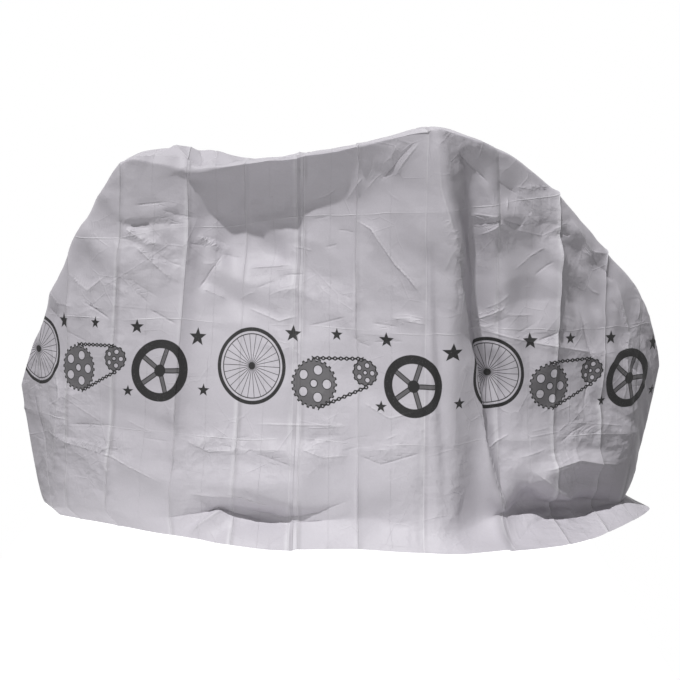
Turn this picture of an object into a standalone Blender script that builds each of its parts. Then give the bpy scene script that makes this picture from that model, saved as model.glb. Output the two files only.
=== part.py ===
"""A bicycle cover of thin film, in the shape in which it hangs over a bicycle.

Metres. +X runs towards the front wheel, -Y is the side that faces the viewer, +Z is up.
The tables give heights over the floor. The origin is under the middle of the top,
where the bicycle carries the cover. The bicycle itself isn't modelled.
"""

import bpy
import numpy as np

FILM = 0.002
MOUNT_HEIGHT = 0.945
HEM_HEIGHT = 0.0035
STEPS_ALONG = 3

# The levels of the wall, from its upper edge down to the hem, as shares of the edge's height.
# The ankle's own height is in the table, and the hem lies on the floor.
LEVELS = {"edge": 1.0, "neck": 0.86, "chest": 0.62, "waist": 0.36, "knee": 0.15, "ankle": 0.06, "hem": 0.0}
# How many strips of faces lie between each level and the next one down.
STRIPS = (3, 3, 3, 3, 2, 2)
ROOF_STRIPS = 6
FAR_SIDE_WIDTH = 0.96

# One row for each cross-section, from the rear end to the front end.
# x at the upper edge, at the ankle and at the hem; z of the upper edge and of the ankle, where
# the skirt starts; crown: the middle of the roof over its edges; crease: 1 where the upper edge
# is a sharp fold, 0 where it rolls over; then the half-width, from the bicycle's own plane to the
# wall, at each level.
SECTION_COLUMNS = (
    "x_edge", "x_ankle", "x_hem", "z_edge", "z_ankle", "crown", "crease",
    "edge", "neck", "chest", "waist", "knee", "ankle", "hem",
)
SECTIONS = (
    (-0.842, -0.792, -0.768, 0.335, 0.022, 0.000, 0.0, 0.000, 0.000, 0.000, 0.000, 0.000, 0.000, 0.000),
    (-0.825, -0.782, -0.758, 0.385, 0.022, 0.004, 0.0, 0.012, 0.017, 0.023, 0.027, 0.029, 0.029, 0.030),
    (-0.785, -0.757, -0.738, 0.485, 0.026, 0.010, 0.0, 0.032, 0.046, 0.056, 0.064, 0.068, 0.068, 0.068),
    (-0.713, -0.728, -0.695, 0.640, 0.034, 0.012, 0.1, 0.060, 0.076, 0.098, 0.116, 0.114, 0.106, 0.100),
    (-0.640, -0.662, -0.632, 0.778, 0.044, 0.014, 0.3, 0.080, 0.096, 0.124, 0.148, 0.146, 0.136, 0.130),
    (-0.549, -0.594, -0.560, 0.915, 0.050, 0.009, 0.8, 0.100, 0.115, 0.152, 0.182, 0.188, 0.176, 0.168),
    (-0.464, -0.510, -0.484, 0.918, 0.040, 0.036, 0.9, 0.100, 0.112, 0.158, 0.200, 0.216, 0.210, 0.214),
    (-0.380, -0.420, -0.412, 0.898, 0.046, 0.052, 1.0, 0.090, 0.086, 0.152, 0.216, 0.242, 0.236, 0.254),
    (-0.325, -0.352, -0.350, 0.906, 0.058, 0.042, 1.0, 0.112, 0.064, 0.144, 0.226, 0.262, 0.250, 0.294),
    (-0.230, -0.262, -0.262, 0.919, 0.072, 0.010, 1.0, 0.146, 0.076, 0.142, 0.242, 0.290, 0.272, 0.346),
    (-0.110, -0.128, -0.128, 0.938, 0.052, -0.004, 1.0, 0.188, 0.122, 0.170, 0.262, 0.312, 0.312, 0.384),
    (0.024, 0.020, 0.020, 0.959, 0.064, -0.008, 1.0, 0.234, 0.178, 0.208, 0.280, 0.326, 0.328, 0.378),
    (0.120, 0.112, 0.118, 0.981, 0.062, 0.002, 1.0, 0.268, 0.234, 0.250, 0.296, 0.334, 0.334, 0.390),
    (0.206, 0.200, 0.200, 1.001, 0.050, 0.006, 0.9, 0.298, 0.294, 0.298, 0.314, 0.336, 0.356, 0.404),
    (0.262, 0.268, 0.282, 0.999, 0.042, 0.004, 0.8, 0.284, 0.288, 0.292, 0.304, 0.324, 0.348, 0.411),
    (0.335, 0.350, 0.378, 0.972, 0.036, 0.004, 0.7, 0.250, 0.226, 0.216, 0.222, 0.240, 0.268, 0.396),
    (0.440, 0.460, 0.482, 0.924, 0.060, 0.006, 0.6, 0.190, 0.194, 0.198, 0.208, 0.216, 0.196, 0.366),
    (0.549, 0.552, 0.572, 0.828, 0.052, 0.010, 0.4, 0.130, 0.148, 0.170, 0.184, 0.182, 0.152, 0.326),
    (0.660, 0.650, 0.664, 0.704, 0.044, 0.014, 0.3, 0.090, 0.108, 0.130, 0.146, 0.132, 0.112, 0.246),
    (0.770, 0.732, 0.752, 0.578, 0.034, 0.014, 0.1, 0.052, 0.068, 0.086, 0.092, 0.080, 0.068, 0.138),
    (0.822, 0.752, 0.804, 0.472, 0.040, 0.006, 0.0, 0.026, 0.030, 0.035, 0.037, 0.035, 0.034, 0.060),
    (0.842, 0.750, 0.829, 0.385, 0.040, 0.000, 0.0, 0.000, 0.000, 0.000, 0.000, 0.000, 0.000, 0.000),
)

# The main folds of each wall. Each runs from one point to another on the wall, as x and height,
# with its own half-width at each end. Depth is outwards for a ridge and negative for a trough.
FOLD_COLUMNS = ("x_start", "z_start", "x_end", "z_end", "width_start", "width_end", "depth")
NEAR_FOLDS = (
    (0.222, 1.06, 0.300, 0.40, 0.020, 0.040, 0.016),
    (0.292, 0.52, 0.400, 0.00, 0.040, 0.034, 0.018),
    (0.305, 1.00, 0.370, 0.34, 0.022, 0.030, -0.014),
    (0.364, 0.50, 0.400, 0.04, 0.028, 0.026, -0.018),
    (0.400, 0.72, 0.450, 0.24, 0.030, 0.040, 0.010),
    (0.400, 0.00, 0.500, 0.11, 0.026, 0.030, -0.022),
    (0.480, 0.15, 0.700, 0.17, 0.028, 0.022, 0.010),
    (0.545, 0.80, 0.500, 0.30, 0.024, 0.034, 0.010),
    (-0.340, 0.02, -0.140, 0.08, 0.020, 0.024, -0.008),
    (-0.280, 0.14, -0.080, 0.15, 0.026, 0.026, 0.007),
    (-0.098, 0.90, -0.108, 0.30, 0.018, 0.024, -0.008),
    (-0.384, 0.86, -0.420, 0.16, 0.020, 0.028, 0.008),
)
FAR_FOLDS = (
    (0.215, 1.02, 0.180, 0.34, 0.018, 0.040, 0.022),
    (0.180, 0.40, 0.120, 0.00, 0.040, 0.034, 0.018),
    (0.150, 0.96, 0.080, 0.24, 0.024, 0.036, -0.022),
    (0.310, 0.98, 0.420, 0.30, 0.022, 0.036, -0.020),
    (0.420, 0.36, 0.460, 0.00, 0.034, 0.034, -0.018),
    (0.400, 0.90, 0.560, 0.20, 0.024, 0.034, 0.012),
    (-0.080, 0.80, -0.040, 0.10, 0.026, 0.036, 0.014),
    (-0.240, 0.70, -0.200, 0.00, 0.024, 0.036, -0.016),
    (-0.400, 0.86, -0.380, 0.10, 0.022, 0.030, 0.012),
    (-0.580, 0.60, -0.560, 0.06, 0.022, 0.030, -0.010),
    (-0.300, 0.00, -0.280, 0.08, 0.028, 0.028, 0.012),
    (0.000, 0.00, 0.020, 0.09, 0.030, 0.028, 0.014),
    (0.300, 0.00, 0.310, 0.06, 0.028, 0.024, 0.012),
    (0.590, 0.00, 0.580, 0.06, 0.026, 0.022, 0.014),
    (0.690, 0.00, 0.680, 0.06, 0.024, 0.022, -0.008),
)
# A fold fades in over this share of its length at each end.
FOLD_FADE = 0.22
# Closer to the bicycle's plane than this, at both ends, the walls have less and less room for folds.
FULL_FOLD_WIDTH = 0.06
# How a wall's x runs from the ankle up to the edge: 1 is a straight line, and less bulges outwards.
END_BULGE = 0.7
# How sharply the film turns at the ankle, from where it hangs to where it lies: x, then sharpness.
FOOT_CREASE = ((-0.50, -0.36, -0.06, 0.06, 0.36, 0.46, 0.80), (0.3, 0.9, 0.9, 0.3, 0.1, 1.0, 1.0))


def clear_scene():
    """Removes whatever the file opened with."""
    for thing in list(bpy.data.objects):
        bpy.data.objects.remove(thing, do_unlink=True)


def section_columns():
    """The table as one array for each column name."""
    rows = np.array(SECTIONS)
    return {name: rows[:, i] for i, name in enumerate(SECTION_COLUMNS)}


def hermite(p, q, tangent_p, tangent_q, t):
    """A cubic from p to q with these tangents, at t from 0 to 1."""
    return (
        (2 * t**3 - 3 * t**2 + 1) * p
        + (t**3 - 2 * t**2 + t) * tangent_p
        + (3 * t**2 - 2 * t**3) * q
        + (t**3 - t**2) * tangent_q
    )


def along_rows(values, steps, odd):
    """A smooth curve through a column's values, with this many steps between rows.

    The near and the far wall meet at each end, so past an end the column goes on as its
    mirror image: a half-width changes sign there (odd) and an x or a height doesn't.
    """
    sign = -1.0 if odd else 1.0
    padded = np.concatenate([[sign * values[1]], values, [sign * values[-2]]])
    slopes = (padded[2:] - padded[:-2]) / 2
    points = []
    for i in range(len(values) - 1):
        for step in range(steps):
            points.append(hermite(values[i], values[i + 1], slopes[i], slopes[i + 1], step / steps))
    points.append(values[-1])
    return np.array(points)


def along_section(controls, strips, slack):
    """A smooth curve through a section's control points, with this many strips between them.

    slack is 1 at a point that the curve rounds, and 0 at one where it turns sharply.
    """
    chords = np.linalg.norm(np.diff(controls, axis=0), axis=1)
    points = []
    for i, count in enumerate(strips):
        before = controls[max(i - 1, 0)]
        after = controls[min(i + 2, len(controls) - 1)]
        start, end = controls[i], controls[i + 1]
        chord = chords[i]
        reach_start = chord + (chords[i - 1] if i > 0 else 0.0)
        reach_end = chord + (chords[i + 1] if i + 1 < len(chords) else 0.0)
        tangent_start = (end - before) * (chord / max(reach_start, 1e-9)) * slack[i]
        tangent_end = (after - start) * (chord / max(reach_end, 1e-9)) * slack[i + 1]
        for step in range(count):
            points.append(hermite(start, end, tangent_start, tangent_end, step / count))
    points.append(controls[-1])
    return np.array(points)


def wall_controls(column, i, side):
    """The control points of one wall at cross-section i, from the hem up to the edge."""
    points = []
    for name, share in reversed(list(LEVELS.items())):
        if share > LEVELS["ankle"]:
            rise = (share - LEVELS["ankle"]) / (1 - LEVELS["ankle"])
            x = column["x_ankle"][i] + (column["x_edge"][i] - column["x_ankle"][i]) * rise**END_BULGE
        else:
            x = column["x_hem"][i] + (column["x_ankle"][i] - column["x_hem"][i]) * share / LEVELS["ankle"]
        if name == "hem":
            z = HEM_HEIGHT
        elif name == "ankle":
            z = column["z_ankle"][i]
        else:
            z = share * column["z_edge"][i]
        width = column[name][i] * (FAR_SIDE_WIDTH if side > 0 else 1.0)
        points.append((x, side * width, z))
    return points


def draped_grid(steps_along, strips, roof_strips):
    """The sheet as a grid of points: [cross-section, strip from the near hem to the far hem, xyz]."""
    table = section_columns()
    mirrored = [name for name in SECTION_COLUMNS if name in LEVELS]
    column = {name: along_rows(table[name], steps_along, name in mirrored) for name in SECTION_COLUMNS}
    wall_strips = tuple(reversed(strips))
    all_strips = (*wall_strips, roof_strips // 2, roof_strips // 2, *strips)
    sections = []
    for i in range(len(column["x_edge"])):
        near = wall_controls(column, i, -1)
        far = wall_controls(column, i, 1)[::-1]
        middle = (column["x_edge"][i], 0.0, column["z_edge"][i] + column["crown"][i])
        controls = np.array([*near, middle, *far])
        slack = np.ones(len(controls))
        slack[[len(near) - 1, len(near) + 1]] = 1 - column["crease"][i]
        slack[[1, -2]] = 1 - np.interp(column["x_ankle"][i], *FOOT_CREASE)
        sections.append(along_section(controls, all_strips, slack))
    return np.array(sections)


def outward_normals(grid):
    """A unit normal at each point of the grid, pointing away from the bicycle."""
    across = np.gradient(grid, axis=0)
    up = np.gradient(grid, axis=1)
    normal = np.cross(across, up)
    length = np.linalg.norm(normal, axis=2, keepdims=True)
    # The strips of the roof shrink to a point at both ends, where a normal has no length.
    return np.where(length > 1e-9, normal / np.maximum(length, 1e-9), 0.0)


def fold_height(x, z, fold):
    """How far one fold lifts the points at x and z off the wall."""
    f = dict(zip(FOLD_COLUMNS, fold))
    run_x, run_z = f["x_end"] - f["x_start"], f["z_end"] - f["z_start"]
    length = np.hypot(run_x, run_z)
    t = ((x - f["x_start"]) * run_x + (z - f["z_start"]) * run_z) / length**2
    aside = ((x - f["x_start"]) * run_z - (z - f["z_start"]) * run_x) / length
    inside = np.clip(t, 0, 1)
    width = f["width_start"] + (f["width_end"] - f["width_start"]) * inside
    fade = np.clip(t / FOLD_FADE, 0, 1) * np.clip((1 - t) / FOLD_FADE, 0, 1)
    fade = fade * fade * (3 - 2 * fade)
    return f["depth"] * fade * np.exp(-((aside / width) ** 2))


def folded(grid, near_strips, roof_strips):
    """The grid with the main folds of both walls raised and sunk in it."""
    strip = np.arange(grid.shape[1])
    # A fold of one wall fades out over the first strip of the roof.
    near_share = np.clip(near_strips + 1 - strip, 0, 1)
    far_share = np.clip(strip - near_strips - roof_strips + 1, 0, 1)
    x, z = grid[:, :, 0], grid[:, :, 2]
    near = sum(fold_height(x, z, fold) for fold in NEAR_FOLDS) * near_share
    far = sum(fold_height(x, z, fold) for fold in FAR_FOLDS) * far_share
    room = np.clip(np.abs(grid[:, :, 1]) / FULL_FOLD_WIDTH, 0, 1) ** 2
    moved = grid + outward_normals(grid) * ((near + far) * room)[:, :, None]
    moved[:, :, 2] = np.maximum(moved[:, :, 2], HEM_HEIGHT)
    return moved


def sheet_mesh(name, grid):
    """An open sheet of quads, with the near and the far wall joined at both ends."""
    sections, strips = grid.shape[:2]
    wall_top = sum(STRIPS)
    index = np.full((sections, strips), -1, int)
    points = []
    for i in range(sections):
        at_end = i in (0, sections - 1)
        for j in range(strips):
            # At an end the roof is one point, and the far wall's edge is the near wall's.
            if at_end and j > wall_top:
                index[i, j] = index[i, min(wall_top, strips - 1 - j)]
            else:
                index[i, j] = len(points)
                points.append(grid[i, j] - (0, 0, MOUNT_HEIGHT))
    faces = []
    for i in range(sections - 1):
        for j in range(strips - 1):
            corners = (index[i, j], index[i + 1, j], index[i + 1, j + 1], index[i, j + 1])
            corners = tuple(dict.fromkeys(int(c) for c in corners))
            if len(corners) > 2:
                faces.append(corners)
    mesh = bpy.data.meshes.new(name)
    mesh.from_pydata([tuple(map(float, p)) for p in points], [], faces)
    mesh.update()
    return mesh


def silver_film():
    """The cover's material: a thin silver-grey plastic film with a soft gloss."""
    material = bpy.data.materials.new("silver_film")
    material.use_nodes = True
    shader = material.node_tree.nodes["Principled BSDF"]
    shader.inputs["Base Color"].default_value = (0.52, 0.51, 0.54, 1.0)
    shader.inputs["Roughness"].default_value = 0.45
    shader.inputs["Metallic"].default_value = 0.15
    return material


def build_cover():
    """The one-piece cover: the folded sheet, given the thickness of its film."""
    grid = draped_grid(STEPS_ALONG, STRIPS, ROOF_STRIPS)
    grid = folded(grid, sum(STRIPS), ROOF_STRIPS)
    mesh = sheet_mesh("cover_cloth", grid)
    mesh.shade_smooth()
    mesh.materials.append(silver_film())
    cover = bpy.data.objects.new("cover_cloth", mesh)
    bpy.context.scene.collection.objects.link(cover)
    film = cover.modifiers.new("film", "SOLIDIFY")
    film.thickness = FILM
    film.offset = -1.0
    film.use_even_offset = False
    return cover


def main():
    clear_scene()
    build_cover()


main()
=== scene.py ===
"""The looks of the bicycle cover: the creased film, its printed band, the light and the camera.

Metres, but for the tables that say millimetres. +X runs towards the front wheel, -Y is the side
that faces the viewer, +Z is up.
The tables give heights over the floor, and the frame's origin is MOUNT_HEIGHT over it.
"""

import functools
import math

import bpy
import numpy as np
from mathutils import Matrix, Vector


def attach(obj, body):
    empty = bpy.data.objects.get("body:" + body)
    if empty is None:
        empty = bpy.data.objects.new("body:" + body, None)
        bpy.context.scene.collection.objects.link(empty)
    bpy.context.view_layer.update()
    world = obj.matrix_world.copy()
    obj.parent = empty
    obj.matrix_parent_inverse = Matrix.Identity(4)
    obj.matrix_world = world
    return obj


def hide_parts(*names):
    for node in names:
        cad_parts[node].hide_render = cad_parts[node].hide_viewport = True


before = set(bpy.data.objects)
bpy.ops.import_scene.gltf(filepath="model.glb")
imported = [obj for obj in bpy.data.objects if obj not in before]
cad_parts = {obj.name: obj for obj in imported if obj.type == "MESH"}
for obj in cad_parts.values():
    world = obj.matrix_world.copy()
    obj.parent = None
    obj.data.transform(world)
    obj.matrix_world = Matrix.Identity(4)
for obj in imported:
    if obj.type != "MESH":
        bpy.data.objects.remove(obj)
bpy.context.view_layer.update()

MOUNT_HEIGHT = 0.945
HEM_HEIGHT = 0.0010
SEED = 41

# The draped shape. SECTIONS, FOOT_CREASE and FAR_FOLDS are as in the part's source.
# The levels of the wall, from its upper edge down to the hem, as shares of the edge's height.
# The ankle's own height is in the table, and the hem lies on the floor.
LEVELS = {"edge": 1.0, "neck": 0.86, "chest": 0.62, "waist": 0.36, "knee": 0.15, "ankle": 0.06, "hem": 0.0}
FAR_SIDE_WIDTH = 0.96
SECTION_COLUMNS = (
    "x_edge", "x_ankle", "x_hem", "z_edge", "z_ankle", "crown", "crease",
    "edge", "neck", "chest", "waist", "knee", "ankle", "hem",
)
SECTIONS = (
    (-0.842, -0.792, -0.768, 0.335, 0.022, 0.000, 0.0, 0.000, 0.000, 0.000, 0.000, 0.000, 0.000, 0.000),
    (-0.825, -0.782, -0.758, 0.385, 0.022, 0.004, 0.0, 0.012, 0.017, 0.023, 0.027, 0.029, 0.029, 0.030),
    (-0.785, -0.757, -0.738, 0.485, 0.026, 0.010, 0.0, 0.032, 0.046, 0.056, 0.064, 0.068, 0.068, 0.068),
    (-0.713, -0.728, -0.695, 0.640, 0.034, 0.012, 0.1, 0.060, 0.076, 0.098, 0.116, 0.114, 0.106, 0.100),
    (-0.640, -0.662, -0.632, 0.778, 0.044, 0.014, 0.3, 0.080, 0.096, 0.124, 0.148, 0.146, 0.136, 0.130),
    (-0.549, -0.594, -0.560, 0.915, 0.050, 0.009, 0.8, 0.100, 0.115, 0.152, 0.182, 0.188, 0.176, 0.168),
    (-0.464, -0.510, -0.484, 0.918, 0.040, 0.036, 0.9, 0.100, 0.112, 0.158, 0.200, 0.216, 0.210, 0.214),
    (-0.380, -0.420, -0.412, 0.898, 0.046, 0.052, 1.0, 0.090, 0.086, 0.152, 0.216, 0.242, 0.236, 0.254),
    (-0.325, -0.352, -0.350, 0.906, 0.058, 0.042, 1.0, 0.112, 0.064, 0.144, 0.226, 0.262, 0.250, 0.294),
    (-0.230, -0.262, -0.262, 0.919, 0.072, 0.010, 1.0, 0.146, 0.076, 0.142, 0.242, 0.290, 0.272, 0.346),
    (-0.110, -0.128, -0.128, 0.938, 0.052, -0.004, 1.0, 0.188, 0.122, 0.170, 0.262, 0.312, 0.312, 0.384),
    (0.024, 0.020, 0.020, 0.959, 0.064, -0.008, 1.0, 0.234, 0.178, 0.208, 0.280, 0.326, 0.328, 0.378),
    (0.120, 0.112, 0.118, 0.981, 0.062, 0.002, 1.0, 0.268, 0.234, 0.250, 0.296, 0.334, 0.334, 0.390),
    (0.206, 0.200, 0.200, 1.001, 0.050, 0.006, 0.9, 0.298, 0.294, 0.298, 0.314, 0.336, 0.356, 0.404),
    (0.262, 0.268, 0.282, 0.999, 0.042, 0.004, 0.8, 0.284, 0.288, 0.292, 0.304, 0.324, 0.348, 0.411),
    (0.335, 0.350, 0.378, 0.972, 0.036, 0.004, 0.7, 0.250, 0.226, 0.216, 0.222, 0.240, 0.268, 0.396),
    (0.440, 0.460, 0.482, 0.924, 0.060, 0.006, 0.6, 0.190, 0.194, 0.198, 0.208, 0.216, 0.196, 0.366),
    (0.549, 0.552, 0.572, 0.828, 0.052, 0.010, 0.4, 0.130, 0.148, 0.170, 0.184, 0.182, 0.152, 0.326),
    (0.660, 0.650, 0.664, 0.704, 0.044, 0.014, 0.3, 0.090, 0.108, 0.130, 0.146, 0.132, 0.112, 0.246),
    (0.770, 0.732, 0.752, 0.578, 0.034, 0.014, 0.1, 0.052, 0.068, 0.086, 0.092, 0.080, 0.068, 0.138),
    (0.822, 0.752, 0.804, 0.472, 0.040, 0.006, 0.0, 0.026, 0.030, 0.035, 0.037, 0.035, 0.034, 0.060),
    (0.842, 0.750, 0.829, 0.385, 0.040, 0.000, 0.0, 0.000, 0.000, 0.000, 0.000, 0.000, 0.000, 0.000),
)
# How the ends bulge: the power with which x runs from the ankle to the upper edge.
END_BULGE = 0.7
# How sharply the film turns at the ankle, from where it hangs to where it lies: x, then sharpness.
FOOT_CREASE = ((-0.50, -0.36, -0.06, 0.06, 0.36, 0.46, 0.80), (0.3, 0.9, 0.9, 0.3, 0.1, 1.0, 1.0))
# The folds need this half-width of room to be deep, near the ends.
FULL_FOLD_WIDTH = 0.06
# The walls' folds and small creases run out this far in from the upper edge, over the roof.
ROOF_FADE = 0.04
# The crumple and the small creases need this half-width of room, near the ends.
END_ROOM = 0.03
# The crumple is calmer under this height, down to this share, where the film lies on the floor.
CALM_HEIGHT = 0.10
CALMEST = 0.35

# The print: the control row at its height, one repeat of it, and how much it falls towards the front.
PRINT_ROW = 3
PRINT_REPEAT = 0.66
PRINT_FALL = 0.030
# How wide the print's edges blur, and its figures: places along one repeat and over the floor.
PRINT_EDGE = 0.0012
CHAIN_PITCH = 0.0150
SPOKED_WHEELS = (((0.098, 0.416), 0.090),)
CAST_WHEELS = (((0.515, 0.394), 0.076),)
COGS = (((0.262, 0.384), 0.058, 24), ((0.392, 0.418), 0.031, 12))
CHAINS = (((0.256, 0.443), (0.390, 0.450)), ((0.272, 0.326), (0.399, 0.386)))
STARS = (
    ((0.205, 0.498), 0.022),
    ((0.322, 0.502), 0.016),
    ((0.432, 0.340), 0.015),
    ((0.448, 0.500), 0.019),
    ((0.612, 0.478), 0.024),
    ((0.634, 0.352), 0.016),
)

# The film's lighter and darker grey; a lighter grey for the crease lines, partly rubbed film and partly
# painted highlight, and for the painted light beside them; painted shade beside the creases; and the print.
FILM_LIGHT = (0.484, 0.465, 0.503)
FILM_DARK = (0.414, 0.396, 0.429)
FILM_WORN_AND_HIGHLIGHT = (0.640, 0.632, 0.655)
FILM_PAINTED_SHADE = (0.300, 0.286, 0.308)
PRINT_GREY = (0.048, 0.046, 0.047)
PRINT_INK = (0.009, 0.0085, 0.009)
# The soft gloss: its strength, the film's roughness, and how much clouds and ink add to it.
FILM_SPECULAR = 0.36
FILM_ROUGHNESS = 0.46
CLOUD_ROUGHNESS = 0.22
INK_ROUGHNESS = 0.08
# Pale lines on the creases, partly rubbed film and partly painted highlight: their width, how high they
# stand, and the same for the small creases.
WORN_AND_HIGHLIT_WIDTH = 0.0022
WORN_HEIGHT = 0.0012
SMALL_WIDTH = 0.0042
SMALL_HEIGHT = 0.0020
# The band of painted light and the band of painted shade beside an upright crease, for the film's curl there:
# how wide, and how far from the crease.
BAND_WIDTH = 0.0075
BAND_ASIDE = 0.7 * BAND_WIDTH
# The finest crinkles: how many to the metre and how steep, and this share of them is everywhere.
CRINKLES = ((17.0, 0.07), (38.0, 0.06), (85.0, 0.035))
CRINKLES_EVERYWHERE = 0.15
# The crinkles' lattice is bent by about a facet, in waves longer than one, both for its own size.
FACET_BEND = 1.1
FACET_BENDS = 0.45
# Thin straight creases where facets meet: how many facets to the metre, how wide and how high.
FINE_LINES = ((7.0, 0.0030, 0.00055), (13.0, 0.0022, 0.00045))
GRAIN_HEIGHT = 0.00008
# The grey's clouds and its grain: how many to the metre, how detailed and how rough.
CLOUDS = (3.0, 3.0, 0.55)
GRAIN = (240.0, 2.0, 0.6)
# How much they make the grey vary, and the ink.
GREY_GAIN, GREY_BASE = 2.2, -0.6
INK_GAIN, INK_BASE = 0.4, 0.83
# How much of each shows: the pale crease lines, partly rubbed film and partly painted highlight, everywhere
# and in patches, level ones and small ones.
WORN_AND_HIGHLIT_SHARE, WORN_AND_HIGHLIT_PATCH_SHARE, LEVEL_SHARE, SMALL_SHARE = 0.55, 0.45, 0.8, 0.7
# The same for the painted shade and the painted light bands, the pale lines and the print's grey.
PAINTED_SHADE_SHARE, PAINTED_LIGHT_SHARE, PALE_SHARE, GREY_SHARE = 0.6, 0.4, 0.5, 0.86
# Patches: how many to the metre, how detailed, how hard their edges are, and how few they are.
WORN_AND_HIGHLIT_PATCHES = (9.0, 2.0, 4.0, -1.5)
BAND_PATCHES = (5.0, 2.0, 5.0, -2.1)
CRINKLE_PATCHES = (4.5, 2.0, 5.0, -2.3)
FINE_LINE_PATCHES = (0.7, 1.0, 6.0, -2.8)

# The white floor's reach, the light that it and the surround give, and the key light.
FLOOR_X = (-0.80, 0.62)
FLOOR_Y = (-5.0, 2.0)
WHITE = (1.0, 1.0, 1.0, 1.0)
FLOOR_GREY = (0.12, 0.12, 0.12, 1.0)
FLOOR_GLOW = 1.32
SURROUND_LIGHT = 0.23
KEY_DIRECTION = (-0.22, -0.36, 1.0)
KEY_STRENGTH = 3.45
KEY_SPREAD = 1.2
# The camera's distance, height over the floor, downward tilt in degrees, and lens.
CAMERA_AWAY = 3.6
CAMERA_HEIGHT = 1.014
CAMERA_TILT = 8.82
CAMERA_LENS = 73.3

# The main folds of each wall. Each runs from one point to another on the wall, as x and height,
# with its own half-width at each end. Depth is outwards for a ridge and negative for a trough.
# They are the solid's, but that the trough 8 mm deep near x = -0.10 starts lower.
FOLD_COLUMNS = ("x_start", "z_start", "x_end", "z_end", "width_start", "width_end", "depth")
NEAR_FOLDS = (
    (0.222, 1.06, 0.300, 0.40, 0.020, 0.040, 0.016),
    (0.292, 0.52, 0.400, 0.00, 0.040, 0.034, 0.018),
    (0.305, 1.00, 0.370, 0.34, 0.022, 0.030, -0.014),
    (0.364, 0.50, 0.400, 0.04, 0.028, 0.026, -0.018),
    (0.400, 0.72, 0.450, 0.24, 0.030, 0.040, 0.010),
    (0.400, 0.00, 0.500, 0.11, 0.026, 0.030, -0.022),
    (0.480, 0.15, 0.700, 0.17, 0.028, 0.022, 0.010),
    (0.545, 0.80, 0.500, 0.30, 0.024, 0.034, 0.010),
    (-0.340, 0.02, -0.140, 0.08, 0.020, 0.024, -0.008),
    (-0.280, 0.14, -0.080, 0.15, 0.026, 0.026, 0.007),
    (-0.100, 0.66, -0.108, 0.20, 0.018, 0.024, -0.008),
    (-0.384, 0.86, -0.420, 0.16, 0.020, 0.028, 0.008),
)
FAR_FOLDS = (
    (0.215, 1.02, 0.180, 0.34, 0.018, 0.040, 0.022),
    (0.180, 0.40, 0.120, 0.00, 0.040, 0.034, 0.018),
    (0.150, 0.96, 0.080, 0.24, 0.024, 0.036, -0.022),
    (0.310, 0.98, 0.420, 0.30, 0.022, 0.036, -0.020),
    (0.420, 0.36, 0.460, 0.00, 0.034, 0.034, -0.018),
    (0.400, 0.90, 0.560, 0.20, 0.024, 0.034, 0.012),
    (-0.080, 0.80, -0.040, 0.10, 0.026, 0.036, 0.014),
    (-0.240, 0.70, -0.200, 0.00, 0.024, 0.036, -0.016),
    (-0.400, 0.86, -0.380, 0.10, 0.022, 0.030, 0.012),
    (-0.580, 0.60, -0.560, 0.06, 0.022, 0.030, -0.010),
    (-0.300, 0.00, -0.280, 0.08, 0.028, 0.028, 0.012),
    (0.000, 0.00, 0.020, 0.09, 0.030, 0.028, 0.014),
    (0.300, 0.00, 0.310, 0.06, 0.028, 0.024, 0.012),
    (0.590, 0.00, 0.580, 0.06, 0.026, 0.022, 0.014),
    (0.690, 0.00, 0.680, 0.06, 0.024, 0.022, -0.008),
)
# Beyond the solid's folds: the hollow under the saddle is a little deeper and lower, and the wall
# stands out again beside the cone fold.
SCENE_FOLDS = (
    (0.365, 0.95, 0.398, 0.34, 0.034, 0.046, 0.014),
    (-0.330, 0.76, -0.060, 0.74, 0.060, 0.060, -0.016),
    (-0.310, 0.69, -0.130, 0.70, 0.050, 0.045, -0.012),
)
# A fold fades over this share of its length at either end.
FOLD_FADE = 0.22

# Edges between flat facets of the near wall, in millimetres: how high each stands, how far the
# facets reach on its left and on its right, seen along it, and its line of points, as x and height.
NEAR_EDGES = (
    (20, 70, 50, ((430, 190), (485, 152), (545, 100), (610, 45))),
    (10, 30, 50, ((500, 156), (606, 176), (740, 140))),
    (-16, 40, 40, ((418, 4), (470, 34), (540, 46), (740, 44))),
    (11, 60, 30, ((330, 300), (360, 180), (398, 70), (412, 4))),
    (7, 40, 60, ((300, 540), (345, 330), (352, 200))),
    (-13, 28, 17, ((222, 1030), (226, 860), (232, 600), (246, 300), (262, 4))),
    (11, 60, 36, ((-420, 130), (-240, 140), (-110, 100), (-40, 60))),
    (-7, 30, 40, ((-370, 20), (-290, 66), (-190, 52), (-60, 72))),
    (9, 60, 40, ((-250, 260), (-90, 200), (-80, 70))),
    (12, 50, 60, ((-612, 214), (-581, 196), (-424, 131), (-376, 30))),
    (12, 12, 36, ((-376, 4), (-345, 30), (-300, 64), (-268, 60))),
    (10, 50, 70, ((322, 980), (350, 846), (391, 797), (392, 700))),
    (11, 50, 60, ((340, 815), (400, 797), (516, 806), (600, 780))),
    (11, 60, 60, ((560, 830), (548, 743), (535, 682), (543, 600), (517, 500))),
    (10, 40, 50, ((556, 770), (610, 735), (660, 690), (700, 686))),
    (8, 50, 50, ((690, 700), (710, 598), (694, 498), (678, 330))),
    (-9, 60, 60, ((380, 500), (445, 587), (549, 583), (680, 550))),
    (8, 70, 60, ((150, 860), (74, 687), (12, 500))),
    (-7, 70, 70, ((-440, 640), (-330, 560), (-200, 590))),
    (7, 80, 70, ((-640, 560), (-560, 440), (-520, 280))),
    (7, 80, 80, ((-60, 600), (60, 500), (170, 470))),
    (-7, 60, 80, ((100, 440), (140, 300), (110, 150))),
)

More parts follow.
